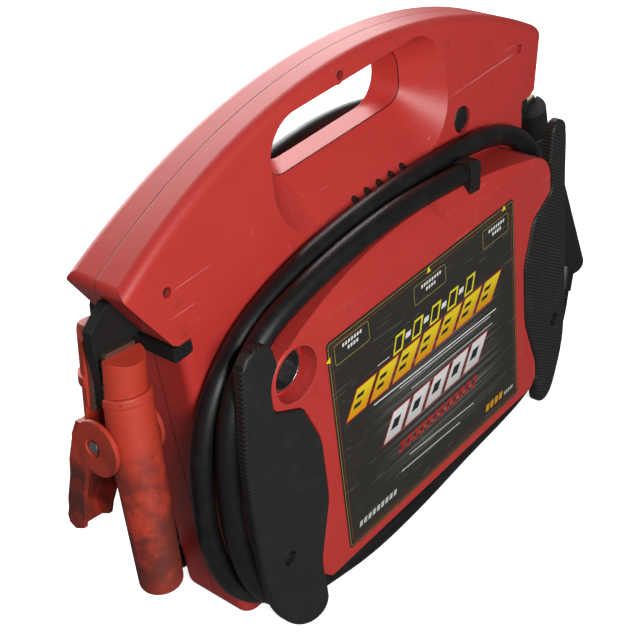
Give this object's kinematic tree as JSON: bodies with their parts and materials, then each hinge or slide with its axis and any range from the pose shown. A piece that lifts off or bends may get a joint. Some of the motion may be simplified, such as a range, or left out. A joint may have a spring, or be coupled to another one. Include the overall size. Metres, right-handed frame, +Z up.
{
  "type": "jump starter pack",
  "caption": "Portable 12 V jump starter: arched two-part case round a sealed battery, bumpers that hold wound booster cables, spring clamps parked on side tongues.",
  "frame": {"origin": "on the resting plane, midway between the sides and between the front and rear bumper faces", "axes": "+X to the right seen from the front, +Y from the labelled front to the back, +Z up"},
  "size_m": [0.397, 0.107, 0.2778],
  "materials": {
    "red_shell": "moulded ABS with a soft sheen",
    "black_ribbed": "moulded with fine slanted ribs",
    "black_plastic": "moulded, fine grain",
    "clamp_red": "worn and smudged",
    "clamp_black": "worn",
    "cable_rubber": "smooth extruded jacket",
    "label": "printed polycarbonate",
    "screw_steel": "blackened",
    "jaw_metal": "copper-plated, worn",
    "pin_steel": "plain",
    "chrome": "plated",
    "brass": "plain",
    "insulator": "phenolic",
    "battery_grey": "moulded",
    "lead": "dull cast lead alloy",
    "board": "lacquered",
    "lens": "dark tinted"
  },
  "bodies": {
    "pack": {"front_shell": "red_shell", "rear_shell": "red_shell", "bumper_front_left": "black_ribbed", "bumper_front_right": "black_ribbed", "bumper_rear_left": "black_ribbed", "bumper_rear_right": "black_ribbed", "bumper_screws": "screw_steel", "case_screws": "screw_steel", "front_label": "label", "parking_bracket_left": "black_plastic", "parking_bracket_right": "black_plastic", "battery_case": "battery_grey", "battery_lid": "battery_grey", "battery_posts": "lead", "terminal_bolts": "brass", "positive_strap": "brass", "negative_strap": "brass", "main_fuse": "black_plastic", "charge_board": "board", "charge_board_parts": "black_plastic", "lamp_board": "board", "charge_lamps": "lens", "test_switch": "black_plastic", "socket_barrel": "chrome", "socket_contact": "brass", "socket_insulator": "insulator", "cable_gland_front": "black_plastic", "cable_gland_rear": "black_plastic", "negative_cable": "cable_rubber", "positive_cable": "cable_rubber", "cable_boot_right": "cable_rubber", "cable_boot_left": "cable_rubber", "clamp_handle_left": "clamp_red", "clamp_jaw_fixed_left": "jaw_metal", "clamp_pin_left": "pin_steel", "clamp_spring_left": "pin_steel", "clamp_handle_right": "clamp_black", "clamp_jaw_fixed_right": "jaw_metal", "clamp_pin_right": "pin_steel", "clamp_spring_right": "pin_steel"},
    "lever_left": {"clamp_lever_left": "clamp_red", "clamp_jaw_moving_left": "jaw_metal"},
    "lever_right": {"clamp_lever_right": "clamp_black", "clamp_jaw_moving_right": "jaw_metal"},
    "test_button": {"test_button": "black_plastic"}
  },
  "joints": [
    {"name": "left_clamp_pivot", "type": "hinge", "parent": "pack", "child": "lever_left", "pos_m": [-0.177, 0, 0.15], "axis": [-0.9877, 0, 0.1564], "range_deg": [0, 20], "stiffness_Nm_per_rad": 1.2, "springref_deg": -20.05},
    {"name": "right_clamp_pivot", "type": "hinge", "parent": "pack", "child": "lever_right", "pos_m": [0.175, 0, 0.127], "axis": [-0.9877, 0, -0.1564], "range_deg": [0, 20], "stiffness_Nm_per_rad": 1.2, "springref_deg": -20.05},
    {"name": "test_button_press", "type": "slide", "parent": "pack", "child": "test_button", "axis": [0, 1, 0], "range_m": [0, 0.002], "stiffness_N_per_m": 1500, "springref_m": -0.0004}
  ]
}
